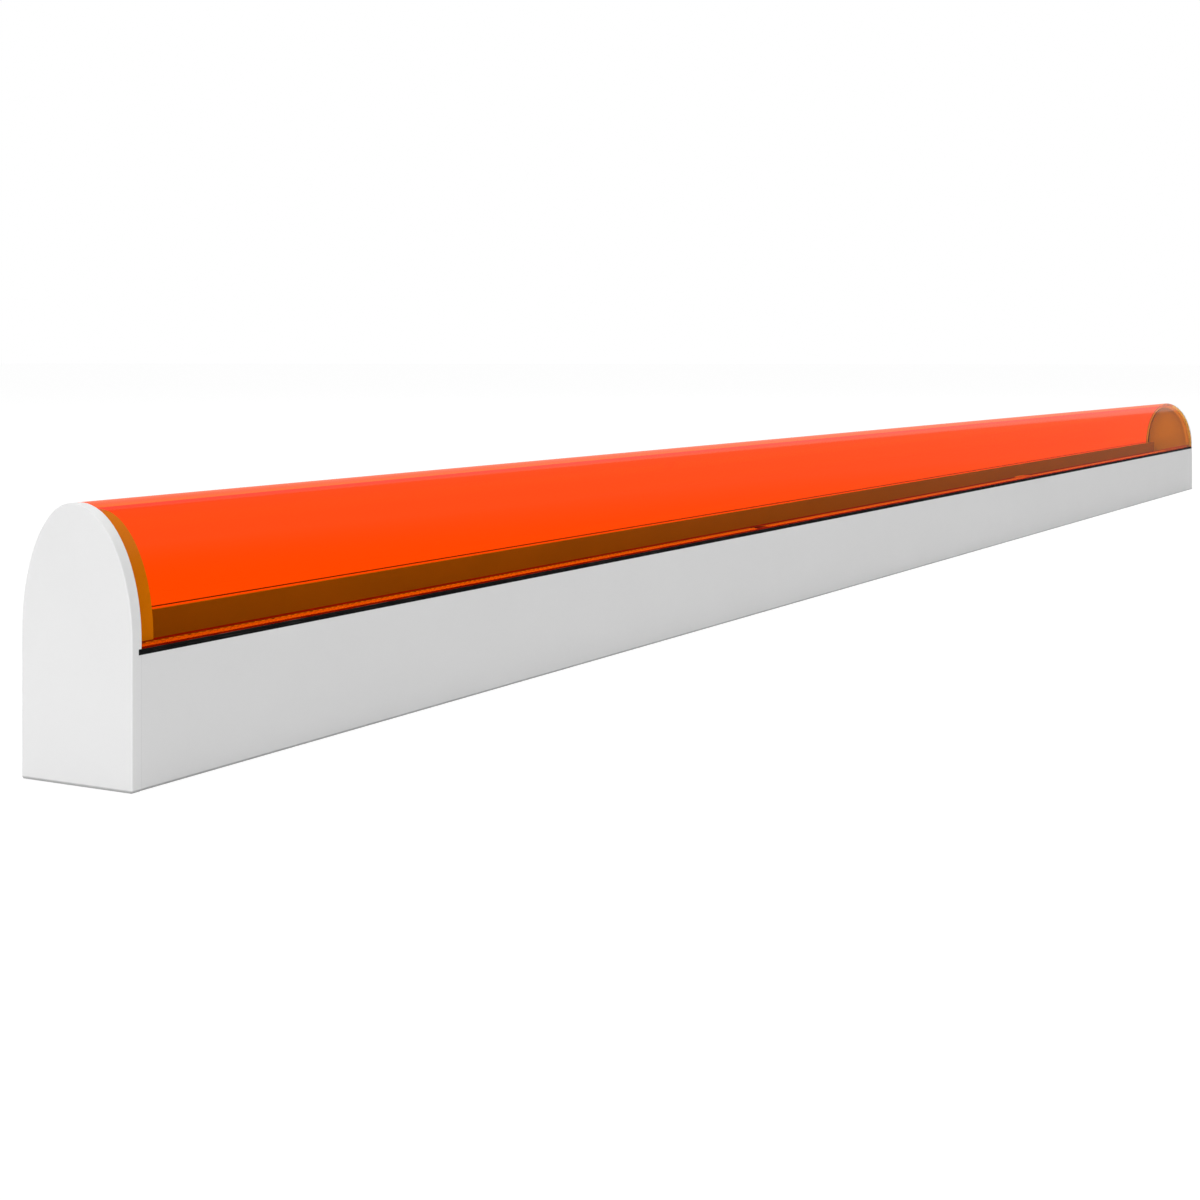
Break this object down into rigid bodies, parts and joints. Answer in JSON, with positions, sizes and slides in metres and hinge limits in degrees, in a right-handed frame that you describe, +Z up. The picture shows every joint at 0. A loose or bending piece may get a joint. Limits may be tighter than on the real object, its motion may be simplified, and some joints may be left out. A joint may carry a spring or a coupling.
{
  "type": "linear light bar",
  "caption": "Long slim light bar: white channel base, domed see-through orange lens on black seal strips, arch-shaped end caps, light boards and driver on an inner tray.",
  "frame": {"origin": "middle of the underside, half way along the bar", "axes": "+X along the bar towards the cable entry's end, +Y to the back, +Z up to the crown of the lens"},
  "size_m": [1.5, 0.044, 0.084],
  "materials": {
    "housing_white": "satin powder coat",
    "cap_white": "fine moulded texture",
    "lens_orange": "clear tinted, polished",
    "seal_black": "matt",
    "end_seal_white": "silicone foam",
    "screw_steel": "zinc plated",
    "tray_steel": "grey powder coat",
    "thermal_tape": "matt tape",
    "board_white": "solder mask",
    "chip_amber": "cast resin over phosphor",
    "jumper_black": "matt",
    "connector_white": "moulded nylon",
    "driver_grey": "moulded",
    "driver_lid_grey": "moulded",
    "circuit_green": "solder mask",
    "wire_brown": "satin insulation",
    "wire_blue": "satin insulation",
    "wire_green": "satin insulation",
    "wire_red": "satin insulation",
    "wire_black": "satin insulation",
    "brass": "turned"
  },
  "bodies": {
    "root": {"base_channel": "housing_white", "lens": "lens_orange", "seal_strip_front": "seal_black", "seal_strip_back": "seal_black", "end_cap_left": "cap_white", "end_cap_right": "cap_white", "lens_end_seal_left": "end_seal_white", "lens_end_seal_right": "end_seal_white", "channel_end_seal_left": "end_seal_white", "channel_end_seal_right": "end_seal_white", "cap_screws": "screw_steel", "gear_tray": "tray_steel", "tray_screws": "screw_steel", "thermal_tape_1": "thermal_tape", "thermal_tape_2": "thermal_tape", "thermal_tape_3": "thermal_tape", "led_board_1": "board_white", "led_board_2": "board_white", "led_board_3": "board_white", "led_chips_1": "chip_amber", "led_chips_2": "chip_amber", "led_chips_3": "chip_amber", "board_link": "jumper_black", "feed_connector": "connector_white", "feed_grommet": "seal_black", "driver_case": "driver_grey", "driver_lid": "driver_lid_grey", "driver_board": "circuit_green", "driver_screws": "screw_steel", "terminal_block": "connector_white", "terminal_screws": "screw_steel", "live_wire": "wire_brown", "neutral_wire": "wire_blue", "earth_wire": "wire_green", "feed_wire_positive": "wire_red", "feed_wire_negative": "wire_black", "earth_stud": "brass", "earth_tag": "screw_steel", "earth_nut": "brass", "cable_grommet": "seal_black", "cable_clamp": "connector_white", "clamp_screws": "screw_steel", "mount_bushes": "seal_black", "vent_plug": "driver_lid_grey"}
  },
  "joints": []
}
